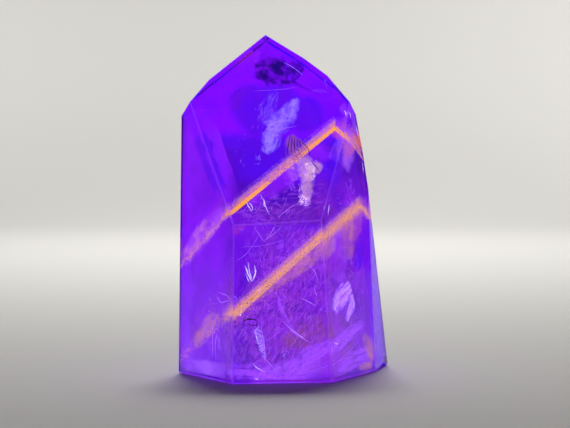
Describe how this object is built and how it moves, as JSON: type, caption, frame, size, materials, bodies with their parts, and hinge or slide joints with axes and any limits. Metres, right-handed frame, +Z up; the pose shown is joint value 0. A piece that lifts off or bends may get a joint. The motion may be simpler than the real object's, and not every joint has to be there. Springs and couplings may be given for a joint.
{
  "type": "powellite phantom quartz tower",
  "caption": "Faceted, polished quartz tower on a flat sawn base, see-through violet, with slanting orange phantom layers, veils and flakes grown inside it.",
  "frame": {"origin": "middle of the flat base, on the surface that the tower stands on", "axes": "+Z up along the shaft to the tip; -Y is the side that the big front face of the point looks to; +X is the viewer's right"},
  "size_m": [0.0348, 0.0295, 0.0554],
  "materials": {
    "quartz": "polished",
    "powellite": "matte",
    "veil": "matte"
  },
  "bodies": {
    "root": {"quartz_tower": "quartz", "upper_phantom": "powellite", "lower_phantom": "powellite"}
  },
  "joints": []
}
